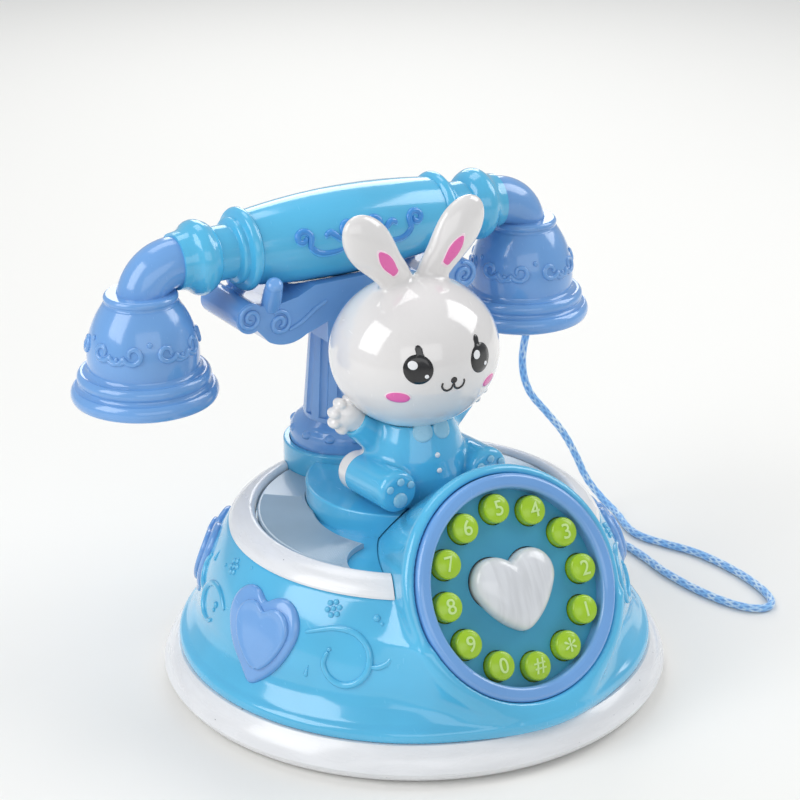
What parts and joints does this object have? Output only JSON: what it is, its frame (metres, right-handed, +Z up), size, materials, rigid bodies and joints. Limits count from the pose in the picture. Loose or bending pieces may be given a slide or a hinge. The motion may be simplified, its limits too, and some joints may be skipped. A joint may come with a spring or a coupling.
{
  "type": "toy desk telephone",
  "caption": "Toy desk telephone with a sitting rabbit, round push-button dial, lift-off handset on a scrolled cradle and a rope cord.",
  "frame": {"origin": "middle of the foot ring's underside, on the surface it stands on", "axes": "+X to the telephone's right seen from the front, -Y towards the front where the dial is, +Z up"},
  "size_m": [0.247, 0.1953, 0.171],
  "materials": {
    "shell_blue": "glossy sky-blue moulding",
    "dial_blue": "glossy, a little greener than the shell",
    "pearl_white": "glossy white with faint scuffs",
    "periwinkle": "glossy periwinkle moulding",
    "frosted_lens": "frosted and finely ribbed",
    "key_green": "satin lime green",
    "pearl_heart": "pearl white with faint streaks",
    "rabbit_white": "glossy white",
    "dark_plastic": "matt black",
    "base_grey": "matt pale grey",
    "cord_rope": "braided pale-blue rope",
    "cord_sleeve": "soft blue sleeve",
    "membrane_rubber": "matt grey rubber",
    "board_green": "green solder mask",
    "screw_steel": "plated steel",
    "battery_case": "plain dark wrap",
    "diode_clear": "clear lens"
  },
  "bodies": {
    "base": {"base_plate": "base_grey", "base_screws": "screw_steel", "base_shell": "shell_blue", "batteries": "battery_case", "battery_contacts": "screw_steel", "battery_cover": "base_grey", "body_back": "rabbit_white", "body_front": "shell_blue", "cord_grommet": "cord_sleeve", "cord_laid": "cord_rope", "cradle_back": "periwinkle", "cradle_front": "periwinkle", "dial_plate": "dial_blue", "dial_ring": "periwinkle", "foot_ring": "pearl_white", "head_back": "rabbit_white", "head_front": "rabbit_white", "heart_plaque_front_left": "periwinkle", "heart_plaque_front_right": "periwinkle", "heart_plaque_rear_left": "periwinkle", "heart_plaque_rear_right": "periwinkle", "hook_switch": "dark_plastic", "keypad_board": "board_green", "keypad_membrane": "membrane_rubber", "light_diodes": "diode_clear", "light_lens_left": "frosted_lens", "light_lens_right": "frosted_lens", "main_board": "board_green", "mast": "periwinkle", "mast_screws": "screw_steel", "shoulder_ring": "pearl_white", "speaker": "dark_plastic", "top_deck": "shell_blue"},
    "handset": {"grip_front": "shell_blue", "grip_back": "shell_blue", "elbow_left": "periwinkle", "elbow_right": "periwinkle", "mouth_bell": "periwinkle", "ear_bell": "periwinkle", "mouth_cap": "periwinkle", "ear_cap": "periwinkle", "cord_lifted": "cord_rope", "cord_relief": "periwinkle"},
    "key_0": {"key_0": "key_green"},
    "key_1": {"key_1": "key_green"},
    "key_2": {"key_2": "key_green"},
    "key_3": {"key_3": "key_green"},
    "key_4": {"key_4": "key_green"},
    "key_5": {"key_5": "key_green"},
    "key_6": {"key_6": "key_green"},
    "key_7": {"key_7": "key_green"},
    "key_8": {"key_8": "key_green"},
    "key_9": {"key_9": "key_green"},
    "key_hash": {"key_hash": "key_green"},
    "key_star": {"key_star": "key_green"},
    "heart_button": {"heart_button": "pearl_heart"},
    "hook_button": {"hook_button": "periwinkle"},
    "power_switch": {"power_switch": "dark_plastic"}
  },
  "joints": [
    {"name": "handset_lift", "type": "slide", "parent": "base", "child": "handset", "axis": [0, 0, 1], "range_m": [0, 0.08]},
    {"name": "key_0_press", "type": "slide", "parent": "base", "child": "key_0", "axis": [0, 0.8797, -0.4755], "range_m": [0, 0.0015], "stiffness_N_per_m": 400, "springref_m": -0.001},
    {"name": "key_1_press", "type": "slide", "parent": "base", "child": "key_1", "axis": [0, 0.8797, -0.4755], "range_m": [0, 0.0015], "stiffness_N_per_m": 400, "springref_m": -0.001},
    {"name": "key_2_press", "type": "slide", "parent": "base", "child": "key_2", "axis": [0, 0.8797, -0.4755], "range_m": [0, 0.0015], "stiffness_N_per_m": 400, "springref_m": -0.001},
    {"name": "key_3_press", "type": "slide", "parent": "base", "child": "key_3", "axis": [0, 0.8797, -0.4755], "range_m": [0, 0.0015], "stiffness_N_per_m": 400, "springref_m": -0.001},
    {"name": "key_4_press", "type": "slide", "parent": "base", "child": "key_4", "axis": [0, 0.8797, -0.4755], "range_m": [0, 0.0015], "stiffness_N_per_m": 400, "springref_m": -0.001},
    {"name": "key_5_press", "type": "slide", "parent": "base", "child": "key_5", "axis": [0, 0.8797, -0.4755], "range_m": [0, 0.0015], "stiffness_N_per_m": 400, "springref_m": -0.001},
    {"name": "key_6_press", "type": "slide", "parent": "base", "child": "key_6", "axis": [0, 0.8797, -0.4755], "range_m": [0, 0.0015], "stiffness_N_per_m": 400, "springref_m": -0.001},
    {"name": "key_7_press", "type": "slide", "parent": "base", "child": "key_7", "axis": [0, 0.8797, -0.4755], "range_m": [0, 0.0015], "stiffness_N_per_m": 400, "springref_m": -0.001},
    {"name": "key_8_press", "type": "slide", "parent": "base", "child": "key_8", "axis": [0, 0.8797, -0.4755], "range_m": [0, 0.0015], "stiffness_N_per_m": 400, "springref_m": -0.001},
    {"name": "key_9_press", "type": "slide", "parent": "base", "child": "key_9", "axis": [0, 0.8797, -0.4755], "range_m": [0, 0.0015], "stiffness_N_per_m": 400, "springref_m": -0.001},
    {"name": "key_hash_press", "type": "slide", "parent": "base", "child": "key_hash", "axis": [0, 0.8797, -0.4755], "range_m": [0, 0.0015], "stiffness_N_per_m": 400, "springref_m": -0.001},
    {"name": "key_star_press", "type": "slide", "parent": "base", "child": "key_star", "axis": [0, 0.8797, -0.4755], "range_m": [0, 0.0015], "stiffness_N_per_m": 400, "springref_m": -0.001},
    {"name": "heart_press", "type": "slide", "parent": "base", "child": "heart_button", "axis": [0, 0.8797, -0.4755], "range_m": [0, 0.0015], "stiffness_N_per_m": 600, "springref_m": -0.001},
    {"name": "hook_press", "type": "slide", "parent": "base", "child": "hook_button", "axis": [0, 0, 1], "range_m": [-0.002, 0], "stiffness_N_per_m": 300, "springref_m": 0.001},
    {"name": "power_slide", "type": "slide", "parent": "base", "child": "power_switch", "axis": [0, 1, 0], "range_m": [-0.007, 0]}
  ]
}
